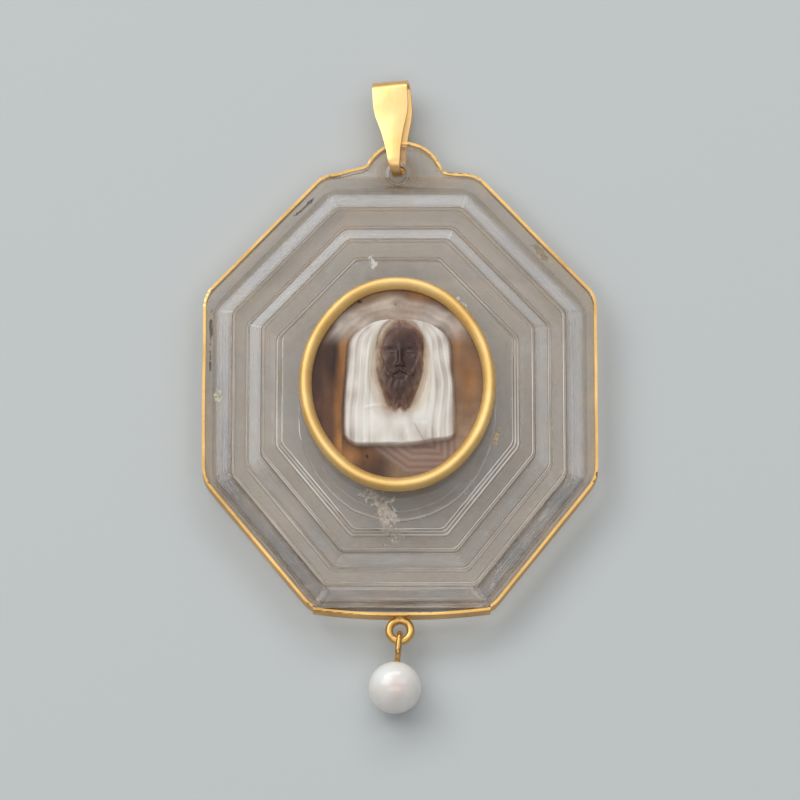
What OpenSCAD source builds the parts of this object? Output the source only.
/* Cameo pendant: a veiled head cut in layered agate, set in a gold bezel on a stepped
   rock crystal plaque with a gold rim band, a strap bail and a pearl drop.
   It lies on its back: X runs to the right, Y to the bail, Z up to the viewer.
   The origin is on the surface below the middle of the whole object. */

/* [Crystal] */
// Width of the crystal at its lower shoulders
crystal_w = 43.5; // [34:0.1:54]
// Height of the crystal without its tab
crystal_h = 50.2; // [42:0.1:60]
// Width at the upper shoulders as a share of the width at the lower ones
upper_share = 0.995; // [0.9:0.005:1]
// Length of the top edge as a share of the width
top_edge_share = 0.385; // [0.3:0.005:0.45]
// Length of the bottom edge as a share of the width
bottom_edge_share = 0.453; // [0.35:0.001:0.5]
// How far the bottom edge lies to the right of the middle
bottom_shift = 0.175; // [-0.5:0.025:0.5]
// Height of the upper shoulders above the middle as a share of the crystal's height
upper_shoulder_share = 0.22; // [0.18:0.005:0.27]
// Depth of the lower shoulders below the middle as a share of the crystal's height
lower_shoulder_share = 0.2; // [0.18:0.005:0.27]
// Thickness of the girdle that the rim band holds
girdle_t = 1.4; // [1.2:0.05:3.5]
// Height of the three front steps together
front_rise = 3; // [1.5:0.05:5]
// Depth of the back bevel under the girdle
back_rise = 2.2; // [1.4:0.05:3]
// Width of the steps at the two sides
step_side = 9; // [7:0.1:10]
// Width of the steps at the top
step_top = 11; // [9:0.1:11.5]
// Width of the steps along the two upper slanting edges
step_upper = 10.4; // [9:0.1:11]
// Width of the steps along the two lower slanting edges
step_lower = 9.1; // [8:0.1:10.5]
// Width of the steps at the bottom
step_bottom = 8.4; // [7:0.1:10]
// How far the steps' inner end lies to the left of the middle
step_shift = 0.3; // [-0.5:0.05:0.5]
// How far the outline's corners are rounded off along each edge
corner_soft = 1.3; // [0.3:0.05:1.5]
// How far the corners of the steps are rounded off along each edge
step_soft = 0.3; // [0.1:0.05:0.8]
// Depth of the oval hollow in the back
hollow_depth = 0.35; // [0.1:0.05:0.8]
// How far the oval hollow lies below the crystal's middle
hollow_drop = 2.4; // [0:0.1:3]

/* [Tab] */
// Radius of the round tab at the top of the crystal
tab_r = 4.25; // [3.9:0.05:4.6]
// How far the tab's centre lies below the crystal's top edge
tab_drop = 0.55; // [0.3:0.05:0.8]
// How far the tab lies to the right of the middle
tab_shift = 0.4; // [-0.5:0.05:0.5]
// Height of the low shoulders beside the tab
flare_h = 0.8; // [0.3:0.05:1.2]
// Diameter of the drilled hole in the tab
hole_d = 2; // [1.9:0.05:2.4]
// How far the hole lies to the right of the middle
hole_shift = -0.25; // [-0.6:0.05:0.6]
// Height of the hole's centre above the crystal's top edge
hole_rise = 0.35; // [0.15:0.05:1]
// Width of the chamfer round the hole's mouths
hole_chamfer = 0.35; // [0.2:0.05:0.45]

/* [Rim band] */
// Thickness of the gold band
band_t = 0.2; // [0.2:0.05:0.6]
// Gap between the band and the crystal
band_gap = 0.05; // [0.05:0.01:0.15]
// Thickness of the lips folded over the crystal's edge
lip_t = 0.16; // [0.12:0.01:0.3]
// How far the lips reach over the crystal's edge
lip_over = 0.06; // [0.05:0.01:0.3]
// How far the band bows away from the middle of the crystal's bottom edge
band_bow = 0.65; // [0.2:0.05:1]
// Outer diameter of the ring soldered under the band
ring_d = 3.3; // [3.1:0.05:5]
// Thickness of the ring's wire
ring_wire = 0.9; // [0.6:0.05:0.95]

/* [Bezel] */
// Outer width of the bezel
bezel_w = 21.9; // [18:0.1:22.5]
// Outer height of the bezel as a share of its width
oval_share = 1.13; // [1.04:0.005:1.16]
// Width of the bezel's rim seen from the front
bezel_rim = 1.45; // [1.2:0.05:2.2]
// Height of the bezel above the crystal
bezel_h = 2.2; // [1.8:0.05:3.5]
// How far the bezel's middle lies to the right of the crystal's
bezel_shift = -0.3; // [-0.6:0.05:0.6]
// How far the bezel's middle lies below the crystal's
bezel_drop = 0.45; // [0:0.05:0.8]

/* [Cameo] */
// Height of the cameo's ground above the crystal
ground_h = 1.25; // [0.9:0.05:1.6]
// Height of the relief above the ground
relief_h = 1.35; // [0.6:0.05:2]
// Width of the veil
veil_w = 12.6; // [9:0.1:13]
// Height of the veil
veil_h = 14.8; // [12.5:0.1:16]
// Height of the head from its crown to its chin
head_h = 7.8; // [6:0.1:8]

/* [Bail] */
// Length of the bail from the hole's centre to its top
bail_l = 10.9; // [8:0.1:14]
// Width of the strap at the top
bail_w = 3.85; // [2.5:0.05:5]
// Width of the strap in the hole
bail_foot = 1.05; // [1:0.05:1.35]
// Thickness of the strap
strap_t = 0.4; // [0.3:0.05:0.5]
// Radius of the bail's fold at its top
fold_r = 1.2; // [0.9:0.05:1.4]
// Clearance between the strap and the rim band's lips
bail_gap = 0.43; // [0.24:0.01:0.45]
// Lean of the bail to the left
bail_lean = 4; // [-20:1:20]
// Turn of the bail about its own length
bail_turn = -4; // [-6:1:6]
// Slant of the strap's edges, which shows its back half beside the front one
bail_slant = -8; // [-10:1:10]

/* [Pearl drop] */
// Diameter of the pearl
pearl_d = 5.85; // [4:0.05:6.5]
// Thickness of the eye pin's wire
pin_wire = 0.65; // [0.4:0.05:0.7]
// Outer length of the eye pin's loop
eye_l = 3.5; // [3:0.05:5]
// Share of the pearl that is drilled
drill_share = 0.7; // [0.4:0.05:0.9]
// Lean of the drop to the left
drop_lean = 5; // [-15:1:15]

/* [Hidden] */
$fn = 64;
half_w = crystal_w / 2;
half_h = crystal_h / 2;
half_top = half_w * top_edge_share;
half_bottom = half_w * bottom_edge_share;
shoulder_up = crystal_h * upper_shoulder_share;
shoulder_low = crystal_h * lower_shoulder_share;
front_z = back_rise + girdle_t;
mid_z = back_rise + girdle_t / 2;
table_z = front_z + front_rise;
tab_y = half_h - tab_drop;
hole_y = half_h + hole_rise;
seat_gap = 0.03;
stone_gap = 0.06;
bezel_y = -bezel_drop;
bezel_r = bezel_w / 2;
stone_in = 0.7 * bezel_rim;
band_out = band_gap + band_t;
lip_gap = 0.06;
lip_top = girdle_t / 2 + lip_gap + lip_t;
bail_in_r = lip_top + bail_gap;
bail_out_r = bail_in_r + strap_t;
ring_r = (ring_d - ring_wire) / 2;
ring_y = -half_h - band_bow - band_out - ring_d / 2 + ring_wire / 8;
eye_gap = 0.08;
eye_w = ring_wire + 2 * pin_wire + 4 * eye_gap;
eye_top_y = -ring_r + ring_wire / 2 + eye_gap + pin_wire;
pearl_r = pearl_d / 2;
pearl_dist = eye_l + pearl_r + 0.12;
pearl_low = ring_y + (eye_top_y - pearl_dist) * cos(drop_lean) - pearl_r;
bail_high = hole_y + bail_l * cos(bail_lean) + bail_w / 2 * sin(abs(bail_lean));
mid_y = (bail_high + pearl_low) / 2;

// The oval is two side arcs and two end arcs that meet with one tangent
oval_over = bezel_r * (oval_share - 1);
end_shift = 1.85 * oval_over;
end_r = bezel_r + oval_over - end_shift;
side_shift = (pow(end_shift, 2) - pow(end_shift - oval_over, 2)) / (2 * (end_shift - oval_over));
side_r = bezel_r + side_shift;
arc_join = atan2(end_shift, side_shift);

// Stepped outline of the crystal, from its rim to its table
// [share of the steps' width at the sides, above, below, share of the front's rise]
STEP = [
    [0, 0, 0, 0],
    [0.145, 0.2, 0.095, 0],
    [0.35, 0.35, 0.28, 0.2],
    [0.37, 0.37, 0.305, 0.33],
    [0.53, 0.575, 0.465, 0.36],
    [0.55, 0.595, 0.49, 0.48],
    [0.725, 0.725, 0.7, 0.65],
    [0.745, 0.745, 0.725, 0.78],
    [0.91, 0.94, 0.9, 0.82],
    [1, 1, 1, 1]
];
back_share = 0.4;

// Shoulders beside the tab, from the tab outwards
// [share of the tab's radius, share of the shoulders' height on the left, the same on the right]
SHOULDER = [
    [0.6, 3.2, 3.2],
    [0.8, 2.3, 2.3],
    [0.89, 1.75, 1.7],
    [0.96, 1.3, 0.95],
    [1.06, 0.98, 0.3],
    [1.36, 0.62, 0.05]
];

// Section of the bezel from its foot round to its inner edge
// [share of the rim's width, share of the bezel's height]
BEZEL = [
    [0.24, 0],
    [0.1, 0.2],
    [0.02, 0.42],
    [0, 0.58],
    [0.03, 0.74],
    [0.1, 0.87],
    [0.2, 0.95],
    [0.32, 0.99],
    [0.44, 1],
    [0.56, 0.98],
    [0.8, 0.87],
    [0.97, 0.74],
    [1, 0.7]
];

// Half width of the bail's strap from the hole to its top
// [share of the length, share of the way from the foot's width to the top's]
STRAP = [
    [-0.1, 0],
    [0.04, 0],
    [0.11, 0.09],
    [0.22, 0.18],
    [0.32, 0.31],
    [0.43, 0.49],
    [0.48, 0.6],
    [0.54, 0.73],
    [0.59, 0.84],
    [0.64, 0.925],
    [0.7, 0.985],
    [0.76, 1],
    [1.1, 1]
];

// Swellings and hollows of the face, in shares of the head's half width and half height
// [across, up, half width, half height, rise, 1 where it is on both sides]
FACE = [
    [0.42, 0.19, 0.3, 0.07, 0.1, 1],
    [0.4, 0.03, 0.25, 0.13, -0.2, 1],
    [0.4, 0, 0.17, 0.075, 0.15, 1],
    [0, 0.08, 0.11, 0.2, 0.12, 0],
    [0, -0.16, 0.1, 0.2, 0.22, 0],
    [0, -0.34, 0.12, 0.09, 0.22, 0],
    [0.15, -0.38, 0.07, 0.06, 0.13, 1],
    [0.14, -0.46, 0.06, 0.03, -0.06, 1],
    [0.54, -0.22, 0.2, 0.16, 0.1, 1],
    [0, -0.72, 0.18, 0.05, 0.1, 0],
    [0, 0.44, 0.5, 0.2, 0.04, 0]
];

head_a = head_h * 0.35;
head_b = head_h / 2;
head_x = 0.3;
veil_x = 0.25;
veil_top = veil_h / 2;
veil_low = veil_top - veil_h;
head_y = veil_top - 0.1 - head_b;
veil_rise = 0.5;
hood_a = head_a * 1.36;
hood_b = head_b * 1.55;
hood_y = head_y - head_b * 0.5;
grid_y = head_y - 1;
grid_rings = 36;
grid_spokes = 92;
oval_sides = 72;

function ramp(a, b, x) = let(t = max(0, min(1, (x - a) / (b - a)))) t * t * (3 - 2 * t);

// The crystal's outline, anticlockwise from the right upper shoulder
rim_points = [
    [half_w * upper_share, shoulder_up],
    [half_top, half_h],
    [-half_top, half_h],
    [-half_w * upper_share, shoulder_up],
    [-half_w, -shoulder_low],
    [bottom_shift - half_bottom, -half_h],
    [bottom_shift + half_bottom, -half_h],
    [half_w, -shoulder_low]
];

// [width of the steps along an edge of the outline, its column of the STEP table]
EDGE = [
    [step_upper + 0.7 * step_shift, 1],
    [step_top, 1],
    [step_upper - 0.7 * step_shift, 1],
    [step_side - step_shift, 0],
    [step_lower - 0.8 * step_shift, 2],
    [step_bottom, 2],
    [step_lower + 0.8 * step_shift, 2],
    [step_side + step_shift, 0]
];

function edge_normal(i) = let(
    a = rim_points[i % 8],
    b = rim_points[(i + 1) % 8],
    d = (b - a) / norm(b - a)
) [-d[1], d[0]];

// The outline with every edge moved inwards by its own distance
function inset(steps) = [
    for (i = [0:7]) let(
        n = edge_normal(i + 7),
        m = edge_normal(i),
        p = n * rim_points[i] + steps[(i + 7) % 8],
        q = m * rim_points[i] + steps[i],
        det = n[0] * m[1] - n[1] * m[0]
    ) [(p * m[1] - q * n[1]) / det, (n[0] * q - m[0] * p) / det]
];

function even(step) = [for (i = [0:7]) step];

// How far each edge has moved inwards at a row of the STEP table
function step_in(row) = [for (edge = EDGE) edge[0] * row[edge[1]]];

// Rounds every corner of an outline off, from so far before it to so far behind it
function rounded(outline, reach) = [
    for (i = [0:7]) let(
        b = outline[i],
        back = outline[(i + 7) % 8] - b,
        ahead = outline[(i + 1) % 8] - b,
        p = b + back / norm(back) * reach,
        q = b + ahead / norm(ahead) * reach
    ) for (t = [0:0.25:1]) (1 - t) * (1 - t) * p + 2 * t * (1 - t) * b + t * t * q
];

function level(outline, z) = [for (p = outline) [p[0], p[1], z]];

// A point of the bezel's oval moved inwards, where the outline faces the given way
function oval_point(turn, inwards) = let(
    way = [cos(turn), sin(turn)],
    at_end = abs(way[1]) > sin(arc_join),
    centre = at_end ? [0, end_shift * sign(way[1])] : [-side_shift * sign(way[0]), 0]
) centre + ((at_end ? end_r : side_r) - inwards) * way;

// Sweeps a section round the oval, with its X axis at the oval's outline and pointing outwards
module oval_sweep(section) {
    n = len(section);
    polyhedron(
        points = [for (i = [0:oval_sides - 1], p = section)
            let(q = oval_point(360 * i / oval_sides, -p[0])) [q[0], q[1], p[1]]],
        faces = [for (i = [0:oval_sides - 1], k = [0:n - 1]) let(
            a = i * n + k,
            b = i * n + (k + 1) % n,
            next = (i + 1) % oval_sides * n,
            c = next + (k + 1) % n,
            d = next + k
        ) each [[a, b, c], [a, c, d]]]
    );
}

// The rim of the crystal with its tab, grown outwards and bowed at the bottom
module rim_outline(grow, bow) {
    foot = half_top - corner_soft;
    last = len(SHOULDER) - 1;
    polygon(rounded(inset(even(-grow)), corner_soft + 0.41 * grow));
    translate([tab_shift, tab_y])
        circle(r = tab_r + grow);
    polygon(concat(
        [[-foot, half_h - 1], [foot, half_h - 1], [foot, half_h + grow]],
        [for (i = [last:-1:0]) [tab_shift + SHOULDER[i][0] * tab_r, half_h + SHOULDER[i][2] * flare_h + grow]],
        [for (row = SHOULDER) [tab_shift - row[0] * tab_r, half_h + row[1] * flare_h + grow]],
        [[-foot, half_h + grow]]
    ));
    if (bow > 0)
        polygon(concat(
            [for (t = [-1:0.125:1])
                [bottom_shift + t * half_bottom, -half_h - grow - bow * (1 - pow(abs(t), 2.2))]],
            [[bottom_shift + half_bottom, 1 - half_h], [bottom_shift - half_bottom, 1 - half_h]]
        ));
}

// Moves a piece so that the whole object's middle is above the origin
module placed() {
    translate([0, -mid_y, 0])
        children();
}

module stepped_plaque() {
    foot = level(rounded(inset(step_in(back_share * [1, 1, 1])), step_soft), 0);
    girdle = level(rounded(inset(even(0)), corner_soft), back_rise);
    front = [for (row = STEP) let(soft = row[0] == 0 ? corner_soft : step_soft)
        level(rounded(inset(step_in(row)), soft), front_z + front_rise * row[3])];
    levels = concat([foot, girdle], front);
    top = len(levels) - 1;
    n = len(levels[0]);
    polyhedron(
        points = [for (ring = levels) each ring],
        faces = concat(
            [[for (i = [0:n - 1]) i]],
            [[for (i = [n - 1:-1:0]) top * n + i]],
            [for (k = [0:top - 1], i = [0:n - 1]) let(a = k * n + i, b = k * n + (i + 1) % n)
                each [[a + n, b + n, b], [a + n, b, a]]]
        )
    );
}

module crystal() {
    tab_slack = 0.02;
    color([0.85, 0.89, 0.92, 0.5])
        placed()
            difference() {
                union() {
                    stepped_plaque();
                    translate([0, 0, back_rise + tab_slack])
                        linear_extrude(girdle_t - 2 * tab_slack)
                            rim_outline(-tab_slack, 0);
                }
                translate([hole_shift, hole_y, 0]) {
                    cylinder(d = hole_d, h = table_z);
                    for (side = [-1, 1])
                        translate([0, 0, mid_z + side * (girdle_t / 2 - hole_chamfer)])
                            mirror([0, 0, side < 0 ? 1 : 0])
                                cylinder(r1 = hole_d / 2, r2 = hole_d / 2 + hole_chamfer, h = hole_chamfer);
                }
                translate([bezel_shift, -hollow_drop, -hollow_depth])
                    linear_extrude(2 * hollow_depth)
                        polygon([for (i = [0:oval_sides - 1]) oval_point(360 * i / oval_sides, 0)]);
            }
}

module rim_band() {
    color("goldenrod")
        placed() {
            difference() {
                translate([0, 0, mid_z - lip_top])
                    linear_extrude(2 * lip_top)
                        rim_outline(band_out, band_bow);
                translate([0, 0, mid_z - lip_top + lip_t])
                    linear_extrude(2 * (lip_top - lip_t))
                        rim_outline(band_gap, band_bow);
                linear_extrude(table_z)
                    rim_outline(-lip_over, band_bow);
            }
            translate([0, ring_y, mid_z])
                rotate_extrude()
                    translate([ring_r, 0])
                        circle(d = ring_wire, $fn = 32);
            translate([0, -half_h - band_bow - band_gap - band_t / 2, mid_z])
                rotate([90, 0, 0])
                    cylinder(r1 = ring_wire * 0.8, r2 = ring_wire * 0.5, h = band_t / 2 + ring_wire * 0.45);
        }
}

module bezel() {
    section = concat(
        [for (row = BEZEL) [-bezel_rim * row[0], bezel_h * row[1]]],
        [
            [-bezel_rim, ground_h + stone_gap],
            [stone_gap - stone_in, ground_h + stone_gap],
            [stone_gap - stone_in, 0]
        ]
    );
    color("gold")
        placed()
            translate([bezel_shift, bezel_y, table_z + seat_gap])
                oval_sweep(section);
}

// Height of the veil, its hood and its folds above the ground, as a share of relief_h
function veil_relief(x, y) = let(
    off = abs(x - veil_x),
    half = veil_w / 2 * (1 - 0.08 * ramp(veil_low + 4, veil_top - 2, y)),
    arch = min(1, max(0, y - veil_top + 3.4) / 3.4),
    across = off - half * pow(1 - pow(arch, 2.2), 1 / 2.2),
    side = (x - veil_x) / veil_w * 2,
    hem = veil_low + veil_h * (0.05 * ramp(0, 1, side) + 0.09 * pow(max(0, -side - 0.72) / 0.28, 2)
        + 0.045 * pow(max(0, side - 0.84) / 0.16, 2)),
    cloth = ramp(0.12, -0.3, across) * ramp(hem - 0.05, hem + 0.3, y)
        * ramp(veil_top + 0.2, veil_top - 0.1, y),
    away = (norm([(x - head_x) / hood_a, (y - hood_y) / hood_b]) - 1) * hood_a,
    hollow = ramp(0.12, -0.3, away) * ramp(hood_y - hood_b * 0.95, hood_y - hood_b * 0.55, y),
    sides = ramp(2.8, 3.9, off),
    pleats = 0.06 * cos(330 * (across + 0.06 * sin(40 * y))) * sides,
    turn = atan2(x - veil_x - 0.6, y - 1.2),
    fan = 0.06 * cos(28 * turn + 60 * sin(30 * y)) * (1 - sides)
        * ramp(head_y - head_b * 1.5, head_y - head_b * 1.95, y)
) cloth * (veil_rise + 0.2 * ramp(1.6, 0.1, away) - 0.34 * hollow + pleats + fan);

// 0 in the middle of the head and its beard, 1 at their edge
function head_spread(u, v) = let(
    across = abs(u) * (1 + 0.22 * ramp(-0.45, -1.5, v)) / 0.93,
    up = v > 0 ? v : -v / 1.74
) pow(across, 2.3) + pow(up, 2.5) + 0.3 * exp(-pow(u / 0.1, 2)) * ramp(-1.3, -1.75, v);

// One row of the face's table at a point
function swelling(f, u, v) = let(
    here = exp(-pow((u - f[0]) / f[2], 2) - pow((v - f[1]) / f[3], 2)),
    across = exp(-pow((u + f[0]) / f[2], 2) - pow((v - f[1]) / f[3], 2))
) f[4] * (here + f[5] * across);

// Lids, mouth and moustache, which follow curves
function face_lines(w, v) = let(
    eye = abs(w - 0.4),
    lid = -0.055 * exp(-pow((v + 0.03 + 0.5 * pow(eye, 2)) / 0.02, 2)) * ramp(0.24, 0.17, eye),
    mouth = -0.1 * exp(-pow((v + 0.645 + 0.12 * w) / 0.022, 2)) * ramp(0.3, 0.2, w),
    lip_v = v + 0.53 + 0.42 * pow(max(0, w - 0.06), 1.2),
    moustache = 0.13 * exp(-pow(lip_v / (0.05 + 0.05 * w), 2)) * ramp(0.62, 0.45, w) * ramp(0, 0.06, w)
) lid + mouth + moustache;

// Hair parted over the forehead, and the forked beard with its curls
function hair_relief(u, v) = let(
    w = abs(u),
    beard_top = -0.84 + 0.2 * ramp(0.1, 0.4, w) + 0.75 * ramp(0.35, 1, w),
    fork = exp(-pow(u / 0.07, 2)) * ramp(-1.1, -1.5, v),
    curl = 0.5 + 0.5 * cos(900 * w * (1 + 0.3 * ramp(-0.6, -1.7, v)) + 100 * sin(500 * v + 300 * w)),
    beard = ramp(beard_top + 0.06, beard_top - 0.08, v) * (0.11 - 0.16 * fork + 0.11 * curl),
    e = norm([u / 0.75, (v - 0.02) / 0.68]),
    parting = exp(-pow(u / 0.05, 2)) * ramp(0.5, 0.7, v),
    wave = 0.5 + 0.5 * cos(720 * e + 50 * sin(9 * atan2(w, v + 0.2))),
    hair = ramp(0.98, 1.12, e) * ramp(-0.45, -0.2, v) * (0.1 - 0.12 * parting + 0.12 * wave),
    tuft = 0.1 * exp(-pow(u / 0.16, 2) - pow((v - 0.66) / 0.12, 2))
) beard + hair + tuft;

// Height of the whole relief as a share of relief_h
function relief(x, y) = let(
    u = (x - head_x) / head_a,
    v = (y - head_y) / head_b,
    spread = head_spread(u, v),
    inside = ramp(1.16, 0.94, spread),
    swellings = [for (f = FACE) swelling(f, u, v)] * [for (f = FACE) 1],
    head = 0.66 * sqrt(max(0, 1 - spread)) + swellings + face_lines(abs(u), v) + hair_relief(u, v)
) veil_relief(x, y) * (1 - 0.5 * inside) + inside * head * 0.78;

// Points of the cameo's top, on spokes from the middle of the face to the stone's edge
function cameo_ring(k) = let(t = pow(k / grid_rings, 1.15)) [
    for (s = [0:grid_spokes - 1]) let(
        rim = oval_point(360 * s / grid_spokes, stone_in),
        x = head_x + t * (rim[0] - head_x),
        y = grid_y + t * (rim[1] - grid_y),
        edge = ramp(1, 0.9, t)
    ) [x, y, ground_h + edge * relief_h * relief(x, y)]
];

module cameo() {
    n = grid_spokes;
    rings = concat(
        [for (k = [1:grid_rings]) cameo_ring(k)],
        [[for (p = cameo_ring(grid_rings)) [p[0], p[1], 0]]]
    );
    last = len(rings) - 1;
    middle = [head_x, grid_y, ground_h + relief_h * relief(head_x, grid_y)];
    color("saddlebrown")
        placed()
            translate([bezel_shift, bezel_y, table_z + stone_gap])
                polyhedron(
                    points = concat([for (ring = rings) each ring], [middle]),
                    faces = concat(
                        [for (s = [0:n - 1]) [(last + 1) * n, (s + 1) % n, s]],
                        [for (k = [0:last - 1], s = [0:n - 1]) let(a = k * n + s, b = k * n + (s + 1) % n)
                            each [[a, b, b + n], [a, b + n, a + n]]],
                        [[for (s = [0:n - 1]) last * n + s]]
                    )
                );
}

module bail() {
    half = [for (row = STRAP) [row[0] * bail_l, (bail_foot + (bail_w - bail_foot) * row[1]) / 2]];
    color("gold")
        placed()
            translate([hole_shift, hole_y, mid_z])
                rotate([0, 0, bail_lean])
                    rotate([0, bail_turn, 0])
                        intersection() {
                            rotate([0, bail_slant, 0])
                                linear_extrude(4 * bail_out_r, center = true)
                                    polygon(concat(
                                        [for (p = half) [p[1], p[0]]],
                                        [for (i = [len(half) - 1:-1:0]) [-half[i][1], half[i][0]]]
                                    ));
                            rotate([0, 90, 0])
                                linear_extrude(2 * bail_w, center = true)
                                    difference() {
                                        loop_outline(0);
                                        loop_outline(strap_t);
                                    }
                        }
}

// Outline of the bail's loop seen from the side, moved inwards: a wide bend below and a fold above
module loop_outline(inwards) {
    low = bail_out_r - strap_t / 2;
    high = bail_l - fold_r;
    wide = bail_out_r - inwards;
    fold = fold_r - inwards;
    slope = asin((wide - fold) / (high - low));
    translate([0, low])
        circle(r = wide);
    translate([0, high])
        circle(r = fold);
    polygon([
        [-wide * cos(slope), low + wide * sin(slope)],
        [wide * cos(slope), low + wide * sin(slope)],
        [fold * cos(slope), high + fold * sin(slope)],
        [-fold * cos(slope), high + fold * sin(slope)]
    ]);
}

// Moves the drop to the ring and leans it
module hung() {
    placed()
        translate([0, ring_y, mid_z])
            rotate([0, 0, -drop_lean])
                translate([0, eye_top_y, 0])
                    children();
}

module eye_pin() {
    bend = eye_w / 2 - pin_wire / 2;
    low = -eye_l + eye_w / 2;
    color("darkgoldenrod")
        hung()
            rotate([0, 90, 0]) {
                for (y = [-eye_w / 2, low], keep = [y == low ? -1 : 1])
                    intersection() {
                        translate([0, y, 0])
                            rotate_extrude()
                                translate([bend, 0])
                                    circle(d = pin_wire, $fn = 24);
                        translate([-eye_w, keep < 0 ? y - eye_w : y, -pin_wire])
                            cube([2 * eye_w, eye_w, 2 * pin_wire]);
                    }
                for (side = [-1, 1])
                    translate([side * bend, low, 0])
                        rotate([-90, 0, 0])
                            cylinder(d = pin_wire, h = -eye_w / 2 - low);
                translate([0, -pearl_dist + pearl_r - pearl_d * drill_share + 0.1, 0])
                    rotate([-90, 0, 0])
                        cylinder(d = pin_wire, h = pearl_dist - eye_l - pearl_r + pearl_d * drill_share);
            }
}

module pearl() {
    drill_gap = 0.04;
    color("whitesmoke")
        hung()
            translate([0, -pearl_dist, pearl_r - mid_z])
                difference() {
                    sphere(r = pearl_r);
                    translate([0, pearl_r * 1.1, mid_z - pearl_r])
                        rotate([90, 0, 0])
                            cylinder(d = pin_wire + 2 * drill_gap, h = pearl_r * 0.1 + pearl_d * drill_share);
                }
}

crystal();
rim_band();
bezel();
cameo();
bail();
eye_pin();
pearl();
